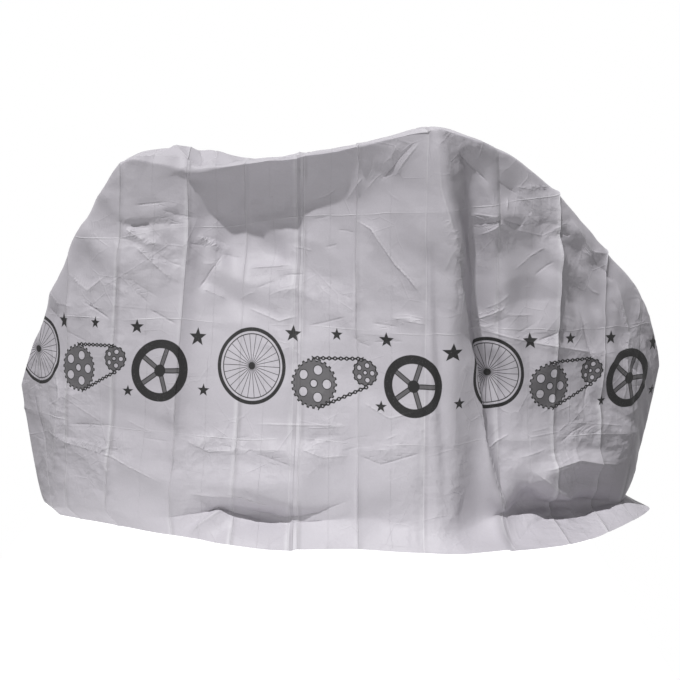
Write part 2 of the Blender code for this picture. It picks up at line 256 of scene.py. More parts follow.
# The creases that packing left, which run up the near wall, over the roof and down the far wall.
# Each has its x at the upper edge; lift: its height, negative for a groove; spread: how far its
# slopes reach on the side of the rear and on the side of the front.
PACKING_COLUMNS = ("x_edge", "near_lift", "far_lift", "rear_spread", "front_spread")
PACKING = (
    (-0.785, 0.0035, -0.0041, 0.009, 0.016),
    (-0.690, 0.0068, 0.0059, 0.007, 0.021),
    (-0.549, 0.0089, -0.0076, 0.023, 0.008),
    (-0.384, 0.0081, 0.0073, 0.007, 0.019),
    (-0.235, 0.0038, -0.0068, 0.016, 0.007),
    (-0.108, -0.0020, 0.0073, 0.013, 0.005),
    (-0.088, 0.0020, -0.0054, 0.005, 0.016),
    (0.047, 0.0068, 0.0070, 0.005, 0.016),
    (0.208, -0.0086, -0.0068, 0.018, 0.007),
    (0.382, -0.0068, 0.0076, 0.008, 0.016),
    (0.536, 0.0081, -0.0068, 0.016, 0.007),
    (0.672, 0.0081, 0.0068, 0.016, 0.007),
    (0.780, -0.0041, 0.0041, 0.008, 0.013),
)
# On the roof and at the hem the packing creases have only this share of their height.
ROOF_SHARE = 0.35
# The level creases, as heights on either wall and how much they rise towards the front.
LEVEL_CREASES = ((0.248, -0.03), (0.520, -0.02), (0.792, 0.09))
LEVEL_LIFT = 0.0036
LEVEL_SPREAD = 0.008
# The flat fields between the creases tilt a little, because their corners stand in or out this far.
FIELD_CORNER_LIFT = 0.0085
# The heights of those corners, over the floor and on over the roof.
FIELD_LEVELS = (0.0, 0.262, 0.516, 0.765, 1.03, 1.30)
# How uneven the creases are: the usual share of their lift, how much it varies, and over how far.
PACKING_UNEVEN = (0.75, 0.60, 0.11)
LEVEL_UNEVEN = (0.35, 0.9, 0.12)
# How far a level crease wanders up and down, and over how far.
LEVEL_WANDER = (0.010, 0.14)

# The small creases of the near wall, in millimetres: how high each stands, negative for a groove,
# how far its slopes reach, and its line of points on the wall, as x and height.
NEAR_CREASES = (
    (20, 24, ((-374, 880), (-372, 905), (-402, 950), (-436, 1010))),
    (-16, 18, ((-352, 900), (-350, 950), (-362, 1020))),
    (10, 12, ((-338, 915), (-310, 960), (-322, 1020))),
    (-8, 11, ((-320, 915), (-270, 955), (-240, 1010))),
    (7, 12, ((-540, 925), (-470, 945), (-405, 935))),
    (15, 20, ((228, 975), (236, 865), (264, 705), (282, 600), (304, 494), (320, 369), (348, 240),
              (400, 112), (428, 4))),
    (-13, 13, ((306, 860), (322, 780), (335, 650), (340, 515), (347, 400), (360, 250), (400, 70))),
    (-4, 6.2, ((-515, 815), (-435, 823))),
    (-8.6, 8.1, ((-552, 764), (-480, 770), (-394, 767))),
    (5.7, 6.8, ((-545, 761), (-487, 722), (-440, 716))),
    (-3.4, 5, ((-419, 798), (-404, 782))),
    (7.5, 7.4, ((-368, 734), (-305, 705))),
    (-4, 6.2, ((-386, 715), (-333, 708))),
    (5.7, 8.1, ((-517, 717), (-423, 627))),
    (-5.2, 8.1, ((-300, 685), (-356, 606))),
    (4.6, 6.2, ((-346, 605), (-287, 583))),
    (4.6, 6.2, ((-229, 657), (-127, 669))),
    (6.9, 7.4, ((39, 786), (85, 762), (138, 679), (169, 648), (202, 601))),
    (-5.7, 6.8, ((178, 974), (99, 883))),
    (4.6, 6.2, ((187, 972), (137, 898))),
    (-8, 8.1, ((284, 953), (354, 879))),
    (5.7, 6.8, ((323, 800), (390, 794))),
    (-4.6, 6.2, ((329, 773), (390, 789))),
    (5.7, 6.8, ((342, 749), (392, 780))),
    (4.6, 6.2, ((401, 811), (405, 838))),
    (-4, 5.6, ((392, 788), (448, 770))),
    (4.6, 6.2, ((456, 866), (512, 862))),
    (-4.6, 6.2, ((529, 747), (570, 741))),
    (7.5, 8.1, ((573, 779), (628, 698), (671, 688))),
    (-5.2, 7.4, ((-653, 570), (-577, 532))),
    (5.7, 8.1, ((-727, 215), (-573, 189), (-437, 130))),
    (6.9, 8.1, ((-405, 248), (-324, 216), (-253, 223), (-118, 228))),
    (-5.7, 7.4, ((-248, 232), (-112, 188))),
    (6.3, 7.4, ((-108, 237), (-41, 213), (24, 219))),
    (-4, 6.2, ((-697, 258), (-571, 266))),
    (4.6, 6.8, ((-207, 287), (24, 289))),
    (6.3, 7.4, ((128, 553), (207, 540))),
    (-5.2, 6.8, ((35, 224), (100, 199), (203, 231))),
    (5.2, 6.8, ((339, 535), (410, 570))),
    (6.3, 8.1, ((342, 515), (475, 481), (661, 440))),
    (-5.2, 6.8, ((485, 481), (569, 514))),
    (4.6, 6.2, ((370, 220), (421, 251))),
    (7.5, 9.3, ((497, 157), (606, 176), (720, 146))),
    (11, 13, ((480, 158), (573, 86), (613, 47))),
    (9.2, 7.4, ((359, 253), (380, 163), (401, 73), (411, 17))),
    (-7, 9, ((-330, 78), (-276, 71), (-141, 60), (-49, 82), (24, 113))),
    (9, 11, ((-380, 110), (-240, 112), (-160, 86))),
    (6.9, 7.4, ((-365, 10), (-296, 64), (-276, 68))),
    (-13, 12, ((418, 13), (485, 44), (541, 48), (602, 39), (691, 40))),
    (5.2, 7.4, ((-750, 470), (-720, 330), (-745, 120))),
    (-4.6, 7.4, ((-800, 330), (-770, 180))),
    (4.6, 6.2, ((-690, 640), (-640, 600), (-590, 640))),
    (-4.6, 6.2, ((-480, 560), (-410, 520))),
    (4.6, 6.8, ((-230, 560), (-150, 530), (-105, 545))),
    (-4, 6.2, ((-80, 520), (20, 545))),
    (4, 6.2, ((50, 350), (120, 310), (190, 330))),
    (-4.6, 7.4, ((600, 560), (640, 420), (620, 300))),
    (5.2, 7.4, ((700, 620), (740, 480), (730, 300))),
)
# The same for the far wall, which doesn't show in the photo.
FAR_CREASES = (
    (6.9, 8.1, ((-600, 720), (-520, 660), (-430, 650))),
    (-6.9, 7.4, ((-540, 790), (-440, 760))),
    (5.7, 7.4, ((-500, 560), (-380, 500))),
    (-5.7, 7.4, ((-360, 800), (-290, 700), (-240, 560))),
    (6.9, 8.1, ((-300, 330), (-180, 270), (-60, 300))),
    (-5.7, 6.8, ((-200, 640), (-100, 600))),
    (5.7, 7.4, ((-80, 860), (0, 760), (60, 620))),
    (-5.7, 7.4, ((60, 460), (160, 400))),
    (6.9, 8.1, ((180, 960), (130, 840))),
    (-6.9, 7.4, ((260, 940), (360, 820), (420, 680))),
    (5.7, 7.4, ((340, 560), (460, 520))),
    (-5.7, 7.4, ((420, 360), (560, 300), (640, 320))),
    (6.9, 8.1, ((500, 760), (580, 640), (660, 600))),
    (-4.6, 6.8, ((660, 480), (740, 420))),
    (5.7, 7.4, ((-740, 440), (-660, 320), (-640, 160))),
    (-5.7, 7.4, ((-520, 200), (-380, 150), (-260, 170))),
    (6.9, 8.1, ((-120, 150), (20, 110), (160, 140))),
    (-6.9, 8.1, ((240, 180), (360, 130), (480, 160))),
    (5.7, 7.4, ((560, 170), (640, 120))),
)
# Groups of short wrinkles, on the near wall and again on the far wall: the middle of the group,
# how far it spreads along x and in height, how long the wrinkles are, how steeply they run and
# how many there are.
WRINKLE_COLUMNS = ("x", "z", "spread_x", "spread_z", "length", "steepness", "count")
WRINKLES = (
    (-0.480, 0.765, 0.060, 0.050, 0.080, -0.10, 9),
    (-0.480, 0.640, 0.070, 0.050, 0.090, -0.60, 5),
    (-0.290, 0.690, 0.060, 0.050, 0.060, -0.20, 5),
    (-0.160, 0.600, 0.050, 0.060, 0.070, 0.40, 4),
    (-0.700, 0.560, 0.050, 0.060, 0.070, -0.60, 5),
    (-0.560, 0.230, 0.080, 0.040, 0.090, -0.10, 7),
    (-0.300, 0.240, 0.070, 0.030, 0.080, -0.15, 7),
    (-0.020, 0.250, 0.070, 0.030, 0.080, 0.10, 6),
    (0.110, 0.255, 0.060, 0.030, 0.070, 0.20, 5),
    (0.090, 0.900, 0.050, 0.060, 0.080, 1.10, 5),
    (0.100, 0.540, 0.080, 0.060, 0.070, -0.10, 6),
    (-0.040, 0.730, 0.050, 0.090, 0.060, 0.20, 5),
    (0.262, 0.700, 0.030, 0.140, 0.110, -3.00, 5),
    (0.430, 0.530, 0.060, 0.040, 0.080, 0.20, 6),
    (0.440, 0.850, 0.060, 0.050, 0.060, -0.80, 6),
    (0.500, 0.700, 0.050, 0.060, 0.070, 0.50, 4),
    (0.580, 0.260, 0.080, 0.050, 0.070, 0.30, 6),
    (0.740, 0.480, 0.040, 0.080, 0.060, -1.50, 6),
    (0.640, 0.640, 0.040, 0.060, 0.060, -0.90, 5),
)
# How high the wrinkles are and how far their slopes reach, at least and at most.
WRINKLE_LIFT = (0.0015, 0.0036)
WRINKLE_REACH = (0.0045, 0.0075)
# How uneven a group is: the scatter of its wrinkles, as a share of its spread, how much they turn,
# their lengths and how much they bend, as shares of the length.
WRINKLE_SCATTER = 0.6
WRINKLE_TURN = 0.22
WRINKLE_LENGTHS = (0.5, 1.2)
WRINKLE_BEND = 0.10
# A small crease or a facet's edge fades over this share of its length at either end.
CREASE_FADE = 0.18
EDGE_FADE = 0.30
# One slope of a small crease reaches further than the other, this many times as far.
LONG_SLOPE = 1.8
# A small crease's line fades over this distance, and one this high shows as a full line.
SMALL_REACH = 0.011
FULL_LINE = 0.0050

# The crumple's facets: how large, how high and how slanted, and the share of that slant across.
CRUMPLE = ((0.120, 0.0090, 0.5), (0.055, 0.0036, -0.6), (0.028, 0.0010, 0.3))
CROSS_SLANT = 0.3
# Their lattice is bent by this much, over these lengths along the film and up it.
CRUMPLE_BEND = 0.05
CRUMPLE_BENDS = (0.23, 0.19)
# Their strength: the usual share, how much it varies, and over how far.
CRUMPLE_UNEVEN = (0.55, 0.45, 0.20)
# Odd factors that scatter the steady random numbers.
HASH_FACTORS = (127.1, 311.7, 74.7, 43758.5453)

# Places of the grid lines: close to each packing crease, within this share of the way to the next,
# and then at an even pitch.
CREASE_OFFSETS = (0.0015, 0.0040, 0.0080, 0.0130)
OFFSETS_SHARE = 0.4
# The places are measured along this row of the controls, half way up the wall, at so many stations.
MEASURED_ROW = 3.5
DENSE_STATIONS = 4001
# That pitch, and the rows from each control to the next, from the hem up to the roof's middle.
PITCH_ALONG = 0.0078
ROWS = (15, 13, 21, 29, 28, 19, 17)


def hermite(p, q, tangent_p, tangent_q, t):
    """A cubic from p to q with these tangents, at t from 0 to 1."""
    return (
        (2 * t**3 - 3 * t**2 + 1) * p
        + (t**3 - 2 * t**2 + t) * tangent_p
        + (3 * t**2 - 2 * t**3) * q
        + (t**3 - t**2) * tangent_q
    )


def column_at(name, stations):
    """A column of the table, read at stations counted in rows.

    Past either end the column goes on as its mirror image, because the walls meet there.
    """
    values = np.array(SECTIONS)[:, SECTION_COLUMNS.index(name)]
    sign = -1.0 if name in LEVELS else 1.0
    padded = np.concatenate([[sign * values[1]], values, [sign * values[-2]]])
    slopes = (padded[2:] - padded[:-2]) / 2
    row = np.minimum(stations.astype(int), len(values) - 2)
    return hermite(values[row], values[row + 1], slopes[row], slopes[row + 1], stations - row)


def wall_controls(column, side):
    """The control points of one wall, from the hem up to the edge: [station, level, xyz]."""
    levels = []
    for name, share in reversed(list(LEVELS.items())):
        if share > LEVELS["ankle"]:
            rise = (share - LEVELS["ankle"]) / (1 - LEVELS["ankle"])
            x = column["x_ankle"] + (column["x_edge"] - column["x_ankle"]) * rise**END_BULGE
        else:
            x = column["x_hem"] + (column["x_ankle"] - column["x_hem"]) * share / LEVELS["ankle"]
        if name == "hem":
            z = np.full_like(x, HEM_HEIGHT)
        elif name == "ankle":
            z = column["z_ankle"]
        else:
            z = share * column["z_edge"]
        width = column[name] * (FAR_SIDE_WIDTH if side > 0 else 1.0)
        levels.append(np.stack([x, side * width, z], axis=1))
    return np.stack(levels, axis=1)


def draped_grid(stations, rows):
    """The sheet's points in heights over the floor: [station, row, xyz].

    Rows are counted in control points, from the near hem over the roof to the far hem.
    """
    column = {name: column_at(name, stations) for name in SECTION_COLUMNS}
    near = wall_controls(column, -1)
    far = wall_controls(column, 1)[:, ::-1]
    crown = column["z_edge"] + column["crown"]
    middle = np.stack([column["x_edge"], np.zeros_like(crown), crown], axis=1)[:, None]
    controls = np.concatenate([near, middle, far], axis=1)
    slack = np.ones(controls.shape[:2])
    slack[:, len(LEVELS) - 1] = 1 - column["crease"]
    slack[:, len(LEVELS) + 1] = 1 - column["crease"]
    foot = np.interp(column["x_ankle"], *FOOT_CREASE)
    slack[:, 1] = slack[:, -2] = 1 - foot

    chord = np.linalg.norm(np.diff(controls, axis=1), axis=2)
    ends = np.concatenate([controls[:, :1], controls, controls[:, -1:]], axis=1)
    reach = np.pad(chord, ((0, 0), (1, 0))) + np.pad(chord, ((0, 0), (0, 1)))
    lean = (ends[:, 2:] - ends[:, :-2]) * (slack / np.maximum(reach, 1e-9))[:, :, None]

    start = np.minimum(rows.astype(int), controls.shape[1] - 2)
    share = (rows - start)[None, :, None]
    length = chord[:, start, None]
    return hermite(
        controls[:, start], controls[:, start + 1],
        lean[:, start] * length, lean[:, start + 1] * length, share,
    )


def outward_normals(grid):
    """A unit normal at each point, pointing out. Past either end the sheet goes on as the other wall."""
    longer = np.concatenate([grid[1:2, ::-1], grid, grid[-2:-1, ::-1]])
    across = longer[2:] - longer[:-2]
    up = np.gradient(grid, axis=1)
    normal = np.cross(across, up)
    length = np.linalg.norm(normal, axis=2, keepdims=True)
    return np.where(length > 1e-12, normal / np.maximum(length, 1e-12), 0.0)


def lengths(grid, axis):
    """How far each point is along its line of the grid."""
    steps = np.linalg.norm(np.diff(grid, axis=axis), axis=2)
    pad = ((1, 0), (0, 0)) if axis == 0 else ((0, 0), (1, 0))
    return np.cumsum(np.pad(steps, pad), axis=axis)


def grid_lines():
    """(stations, rows, indices of the packing creases among the stations)."""
    dense = np.linspace(0, len(SECTIONS) - 1, DENSE_STATIONS)
    run = lengths(draped_grid(dense, np.array([MEASURED_ROW])), 0)[:, 0]
    edge = column_at("x_edge", dense)
    marks = np.interp([row[0] for row in PACKING], edge, run)
    marks = np.concatenate([[0.0], marks, [run[-1]]])
    places, creases = [], []
    for a, b in zip(marks[:-1], marks[1:]):
        creases.append(len(places))
        offsets = [o for o in CREASE_OFFSETS if o < OFFSETS_SHARE * (b - a)]
        low, high = a + offsets[-1], b - offsets[-1]
        count = max(1, round((high - low) / PITCH_ALONG))
        middle = np.linspace(low, high, count + 1)
        places += [a, *(a + o for o in offsets[:-1]), *middle, *(b - o for o in offsets[-2::-1])]
    places.append(marks[-1])
    stations = np.interp(places, run, dense)
    wall = np.concatenate([i + np.arange(n) / n for i, n in enumerate(ROWS)])
    rows = np.concatenate([wall, [len(ROWS)], 2 * len(ROWS) - wall[::-1]])
    return stations, rows, creases[1:]


def smooth(t):
    """0 to 1 with a soft start and a soft end."""
    return t * t * (3 - 2 * t)


def fold_height(x, z, fold):
    """How far one fold lifts the points at x and z off the wall."""
    f = dict(zip(FOLD_COLUMNS, fold))
    run_x, run_z = f["x_end"] - f["x_start"], f["z_end"] - f["z_start"]
    length = np.hypot(run_x, run_z)
    t = ((x - f["x_start"]) * run_x + (z - f["z_start"]) * run_z) / length**2
    aside = ((x - f["x_start"]) * run_z - (z - f["z_start"]) * run_x) / length
    inside = np.clip(t, 0, 1)
    width = f["width_start"] + (f["width_end"] - f["width_start"]) * inside
    fade = np.clip(t / FOLD_FADE, 0, 1) * np.clip((1 - t) / FOLD_FADE, 0, 1)
    return f["depth"] * smooth(fade) * np.exp(-((aside / width) ** 2))


def in_metres(rows):
    """A table of millimetres in metres. Each row ends with a line of points."""
    return [(*(number / 1000 for number in numbers), np.array(points) / 1000) for *numbers, points in rows]


def from_line(x, z, points):
    """How far each point is from a line of points, with a sign for the side, and how far along it."""
    points = np.array(points)
    steps = np.linalg.norm(np.diff(points, axis=0), axis=1)
    nearest = np.full(x.shape, np.inf)
    at = np.zeros(x.shape)
    side = np.ones(x.shape)
    done = 0.0
    for (ax, az), (bx, bz), step in zip(points[:-1], points[1:], steps):
        t = np.clip(((x - ax) * (bx - ax) + (z - az) * (bz - az)) / step**2, 0, 1)
        off_x, off_z = x - ax - t * (bx - ax), z - az - t * (bz - az)
        away = np.hypot(off_x, off_z)
        closer = away < nearest
        nearest = np.where(closer, away, nearest)
        at = np.where(closer, done + t * step, at)
        side = np.where(closer, np.sign((bx - ax) * off_z - (bz - az) * off_x), side)
        done += step
    return nearest * side, at / done


def edge_height(x, z, lift, left_reach, right_reach, points):
    """How far the flat facets on either side of an edge lift the points at x and z."""
    aside, share = from_line(x, z, points)
    fade = np.clip(np.minimum(share, 1 - share) / EDGE_FADE, 0, 1)
    reach = np.where(aside > 0, left_reach, right_reach)
    return lift * fade * np.clip(1 - np.abs(aside) / reach, 0, 1)


def crease_height(x, z, lift, reach, points):
    """One small crease at the points x and z: a sharp line with soft slopes.

    Gives how far it lifts them off the wall, how far they are from its line, with a sign for the
    side, and how strong the line is beside them, negative for a groove.
    """
    aside, share = from_line(x, z, points)
    fade = np.clip(np.minimum(share, 1 - share) / CREASE_FADE, 0, 1)
    slope = reach * np.where(aside < 0, LONG_SLOPE, 1.0)
    return lift * fade * np.exp(-np.abs(aside) / slope), aside, fade * np.clip(lift / FULL_LINE, -1, 1)


def wrinkles(seed):
    """The short wrinkles of all groups, in the form of the small creases."""
    random = np.random.default_rng(seed)
    found = []
    for row in WRINKLES:
        w = dict(zip(WRINKLE_COLUMNS, row))
        for _ in range(w["count"]):
            x = w["x"] + random.normal(0, WRINKLE_SCATTER) * w["spread_x"]
            z = w["z"] + random.normal(0, WRINKLE_SCATTER) * w["spread_z"]
            angle = math.atan(w["steepness"]) + random.normal(0, WRINKLE_TURN)
            half = 0.5 * w["length"] * random.uniform(*WRINKLE_LENGTHS)
            bend = random.normal(0, WRINKLE_BEND) * half
            c, s = math.cos(angle), math.sin(angle)
            middle = (x - bend * s, z + bend * c)
            points = ((x - half * c, z - half * s), middle, (x + half * c, z + half * s))
            lift = random.choice((-1, 1)) * random.uniform(*WRINKLE_LIFT)
            found.append((lift, random.uniform(*WRINKLE_REACH), points))
    return found


def hashed(i, j, seed):
    """A steady random number from -1 to 1 for each pair of whole numbers."""
    for_i, for_j, for_seed, scatter = HASH_FACTORS
    n = np.sin(i * for_i + j * for_j + seed * for_seed) * scatter
    return 2 * (n - np.floor(n)) - 1


def lattice(u, v, cell, seed):
    """Each point's place in its cell of a lattice, and a random number at each of the cell's corners."""
    a, b = u / cell, v / cell
    i, j = np.floor(a), np.floor(b)
    return a - i, b - j, *(hashed(i + right, j + up, seed) for up in (0, 1) for right in (0, 1))


def facet_noise(u, v, cell, seed):
    """Flat triangles on a lattice of this cell, joined at their edges, from -1 to 1."""
    s, t, low_left, low_right, high_left, high_right = lattice(u, v, cell, seed)
    lower = low_left + (low_right - low_left) * s + (high_left - low_left) * t
    upper = high_right + (high_left - high_right) * (1 - s) + (low_right - high_right) * (1 - t)
    return np.where(s + t < 1, lower, upper)


def soft_noise(u, v, cell, seed):
    """A smooth noise of this cell, from -1 to 1."""
    s, t, low_left, low_right, high_left, high_right = lattice(u, v, cell, seed)
    s, t = smooth(s), smooth(t)
    low = low_left * (1 - s) + low_right * s
    high = high_left * (1 - s) + high_right * s
    return low * (1 - t) + high * t


def wall_folds(x, z, height, is_near, on_wall, room):
    """The folds, facet edges and small creases of both walls.

    Gives how far they lift each point, how far it is from its nearest small crease, with a sign for
    the side, and how strong that crease is there.
    """
    move = np.zeros(x.shape)
    from_small = np.full(x.shape, 1.0)
    strength = np.zeros(x.shape)
    near_small = (*in_metres(NEAR_CREASES), *wrinkles(SEED))
    far_small = (*in_metres(FAR_CREASES), *wrinkles(SEED + 1))
    near_folds = (*NEAR_FOLDS, *SCENE_FOLDS)
    for folds, small, on_side in ((near_folds, near_small, is_near), (FAR_FOLDS, far_small, ~is_near)):
        for fold in folds:
            move += fold_height(x, z, fold) * on_wall * on_side * room
        for lift, reach, points in small:
            raised, distance, power = crease_height(x, height, lift, reach, points)
            move += raised * on_side
            closer = (np.abs(distance) < np.abs(from_small)) & on_side
            from_small = np.where(closer, distance, from_small)
            strength = np.where(closer, power * np.clip(1 - np.abs(distance) / SMALL_REACH, 0, 1), strength)
    for lift, left_reach, right_reach, points in in_metres(NEAR_EDGES):
        move += edge_height(x, z, lift, left_reach, right_reach, points) * on_wall * is_near
    return move, from_small, strength


def cover_shape():
    """The finished sheet, and what its material needs to know at each point.

    Gives the points, the film's u of each station on the near and on the far wall, its v at each
    point, the rows of the roof's middle and of the near edge, the stations of the packing creases,
    how far each point is from its nearest upright and level crease, and the same for the nearest
    small crease with how strong that one is.
    """
    stations, rows, creases = grid_lines()
    grid = draped_grid(stations, rows)
    middle = sum(ROWS)
    near_edge = sum(ROWS[:-1])
    far_edge = len(rows) - 1 - near_edge
    order = np.arange(len(rows))
    is_near = order <= middle
    x, y, z = grid[:, :, 0], grid[:, :, 1], grid[:, :, 2]
    normal = outward_normals(grid)

    girth = lengths(grid, 1)
    near_over = np.clip(girth - girth[:, near_edge:near_edge + 1], 0, None)
    far_over = np.clip(girth[:, far_edge:far_edge + 1] - girth, 0, None)
    past_edge = np.where(is_near, near_over, far_over)
    edge_z = np.where(is_near, z[:, near_edge:near_edge + 1], z[:, far_edge:far_edge + 1])
    height = np.where(past_edge > 0, edge_z + past_edge, z)
    along = lengths(grid, 0)

    room = np.clip(np.abs(y) / FULL_FOLD_WIDTH, 0, 1) ** 2
    on_wall = np.clip(1 - past_edge / ROOF_FADE, 0, 1)
    move, from_small, strength = wall_folds(x, z, height, is_near, on_wall, room)
    eased = ROOF_SHARE + (1 - ROOF_SHARE) * on_wall * np.clip(z / CALM_HEIGHT, 0, 1)
    move += packing_creases(x, along, height, is_near, creases) * eased
    move += tilted_fields(along, height, is_near, creases)
    calm = np.clip(z / CALM_HEIGHT, CALMEST, 1)
    move += crumple(along, girth, np.clip(np.abs(y) / END_ROOM, 0, 1) * calm)

    moved = grid + normal * move[:, :, None]
    moved[:, :, 2] = np.maximum(moved[:, :, 2], HEM_HEIGHT)

    from_upright = nearest_offset([along - along[i] for i in creases])
    aside = np.stack([from_upright, from_level(x, along, height)], axis=2)
    small_lines = np.stack([from_small, strength], axis=2)

    near_row = np.argmin(np.abs(rows - PRINT_ROW))
    far_row = np.argmin(np.abs(rows - (2 * len(ROWS) - PRINT_ROW)))
    near_u = along[:, near_row]
    far_u = along[-1, near_row] + along[-1, far_row] - along[:, far_row]
    stretch = round(far_u[0] / PRINT_REPEAT) * PRINT_REPEAT / far_u[0]
    film_v = height + PRINT_FALL * x
    marks = (middle, near_edge)
    return moved, near_u * stretch, far_u * stretch, film_v, marks, creases, aside, small_lines


def nearest_offset(offsets):
    """The one of these offsets that is nearest to zero, at each point."""
    offsets = np.stack(offsets)
    nearest = np.argmin(np.abs(offsets), axis=0)
    return np.take_along_axis(offsets, nearest[None], axis=0)[0]


def packing_creases(x, along, height, is_near, creases):
    """The upright and the level creases that packing left."""
    move = np.zeros(along.shape)
    usual, varying, cell = PACKING_UNEVEN
    for index, row in zip(creases, PACKING):
        p = dict(zip(PACKING_COLUMNS, row))
        aside = along - along[index]
        spread = np.where(aside < 0, p["rear_spread"], p["front_spread"])
        lift = np.where(is_near, p["near_lift"], p["far_lift"])
        uneven = usual + varying * soft_noise(height, 0 * height + index, cell, SEED)
        move += lift * uneven * np.exp(-np.abs(aside) / spread)
    usual, varying, cell = LEVEL_UNEVEN
    uneven = usual + varying * soft_noise(along, height, cell, SEED + 2)
    move += LEVEL_LIFT * uneven * np.exp(-np.abs(from_level(x, along, height)) / LEVEL_SPREAD)
    return move


def from_level(x, along, height):
    """How far over its nearest level crease each point is."""
    reach, cell = LEVEL_WANDER
    wander = reach * facet_noise(along, height, cell, SEED + 1)
    return nearest_offset([height + wander - level - rise * x for level, rise in LEVEL_CREASES])


def tilted_fields(along, height, is_near, creases):
    """The flat fields between the packing creases, each tilted by its four corners."""
    random = np.random.default_rng(SEED)
    count = len(along)
    marks = np.array([0, *creases, count - 1])
    field = np.clip(np.searchsorted(marks, np.arange(count), side="right") - 1, 0, len(marks) - 2)
    start, end = along[marks[field]], along[marks[field + 1]]
    share = np.clip((along - start) / np.maximum(end - start, 1e-6), 0, 1)
    levels = np.array(FIELD_LEVELS)
    low = np.clip(np.searchsorted(levels, height, side="right") - 1, 0, len(levels) - 2)
    rise = np.clip((height - levels[low]) / (levels[low + 1] - levels[low]), 0, 1)
    f = field[:, None]
    move = np.zeros(along.shape)
    for on_side in (is_near, ~is_near):
        corners = random.uniform(-1, 1, (len(marks), len(levels))) * FIELD_CORNER_LIFT
        corners[0] = corners[-1] = 0
        corners[:, -2:] = 0
        bottom = corners[f, low] * (1 - share) + corners[f + 1, low] * share
        top = corners[f, low + 1] * (1 - share) + corners[f + 1, low + 1] * share
        move += (bottom * (1 - rise) + top * rise) * on_side
    return move


def crumple(along, girth, room):
    """Crumple all over, as flat facets of three sizes, stronger in some places than in others."""
    u = along + CRUMPLE_BEND * facet_noise(along, girth, CRUMPLE_BENDS[0], SEED + 5)
    v = girth + CRUMPLE_BEND * facet_noise(along, girth, CRUMPLE_BENDS[1], SEED + 6)
    usual, varying, cell = CRUMPLE_UNEVEN
    strength = usual + varying * soft_noise(along, girth, cell, SEED + 7)
    move = np.zeros(along.shape)
    for number, (cell, lift, slant) in enumerate(CRUMPLE):
        move += lift * facet_noise(u + slant * v, v - CROSS_SLANT * slant * u, cell, SEED + 8 + number)
    return move * strength * room


def sheet_mesh(name, grid, near_u, far_u, film_v, marks, creases, aside, small_lines):
    """An open sheet of quads, with the near and the far wall joined at both ends."""
    middle, near_edge = marks
    sections, rows = grid.shape[:2]
    index = np.full((sections, rows), -1, int)
    points = []
    for i in range(sections):
        at_end = i in (0, sections - 1)
        for j in range(rows):
            # At an end the roof is one point, and the far wall's edge is the near wall's.
            if at_end and j > near_edge:
                index[i, j] = index[i, min(near_edge, rows - 1 - j)]
            else:
                index[i, j] = len(points)
                points.append(grid[i, j] - (0, 0, MOUNT_HEIGHT))
    faces, film, crease, small = [], [], [], []
    for i in range(sections - 1):
        for j in range(rows - 1):
            corners = ((i, j), (i + 1, j), (i + 1, j + 1), (i, j + 1))
            kept = {index[c]: c for c in corners}
            if len(kept) < 3:
                continue
            faces.append(tuple(int(k) for k in kept))
            u = near_u if j < middle else far_u
            film += [(u[c[0]], film_v[c]) for c in kept.values()]
            crease += [aside[c] for c in kept.values()]
            small += [small_lines[c] for c in kept.values()]
    mesh = bpy.data.meshes.new(name)
    mesh.from_pydata([tuple(map(float, p)) for p in points], [], faces)
    for layer_name, places in (("film", film), ("creases", crease), ("small_creases", small)):
        layer = mesh.uv_layers.new(name=layer_name)
        layer.data.foreach_set("uv", np.array(places, np.float32).ravel())
    mesh.update()
    mesh.shade_smooth()
    sharp_lines(mesh, index[creases])
    return mesh


def sharp_lines(mesh, lines):
    """Mark the edges along these rows of points as sharp."""
    line_of = np.full(len(mesh.vertices), -1)
    for number, line in enumerate(lines):
        line_of[line] = number
    ends = np.empty(2 * len(mesh.edges), np.int32)
    mesh.edges.foreach_get("vertices", ends)
    a, b = line_of[ends.reshape(-1, 2)].T
    mesh.attributes.new("sharp_edge", "BOOLEAN", "EDGE").data.foreach_set("value", (a == b) & (a >= 0))


class Field:
    """A number at each point of the film, worked out by Math nodes."""

    def __init__(self, tree, socket):
        self.tree = tree
        self.socket = socket

    def math(self, operation, *others, clamp=False):
        node = self.tree.nodes.new("ShaderNodeMath")
        node.operation = operation
        node.use_clamp = clamp
        for slot, value in enumerate((self, *others)):
            if isinstance(value, Field):
                self.tree.links.new(value.socket, node.inputs[slot])
            else:
                node.inputs[slot].default_value = value
        return Field(self.tree, node.outputs[0])

    def __add__(self, other):
        return self.math("ADD", other)

    def __sub__(self, other):
        return self.math("SUBTRACT", other)

    def __mul__(self, other):
        return self.math("MULTIPLY", other)

    def __rmul__(self, other):
        return self.math("MULTIPLY", other)

    def __abs__(self):
        return self.math("ABSOLUTE")

    def mask(self):
        """1 inside a shape and 0 outside, for a distance that is negative inside."""
        return self.math("MULTIPLY_ADD", -1 / PRINT_EDGE, 0.5, clamp=True)


def joined(*shapes):
    """The union of shapes given by their distances."""
    return functools.reduce(lambda shape, other: shape.math("MINIMUM", other), shapes)


def common(*shapes):
    """What is inside all of these shapes."""
    return functools.reduce(lambda shape, other: shape.math("MAXIMUM", other), shapes)


def polar(u, v, place):
    """(distance from a place, angle about it)."""
    x, y = u - place[0], v - place[1]
    return (x * x + y * y).math("SQRT"), y.math("ARCTAN2", x)


def spoked_wheel(u, v, place, radius):
    """A thin tyre, a rim and many thin spokes: (ink,)."""
    away, angle = polar(u, v, place)
    tyre = abs(away - 0.95 * radius) - 0.05 * radius
    rim = abs(away - 0.83 * radius) - 0.014 * radius
    spokes = common(angle.math("PINGPONG", math.pi / 26) * away - 0.0007, away - 0.83 * radius)
    hub = away - 0.10 * radius
    return (joined(tyre, rim, spokes, hub),)


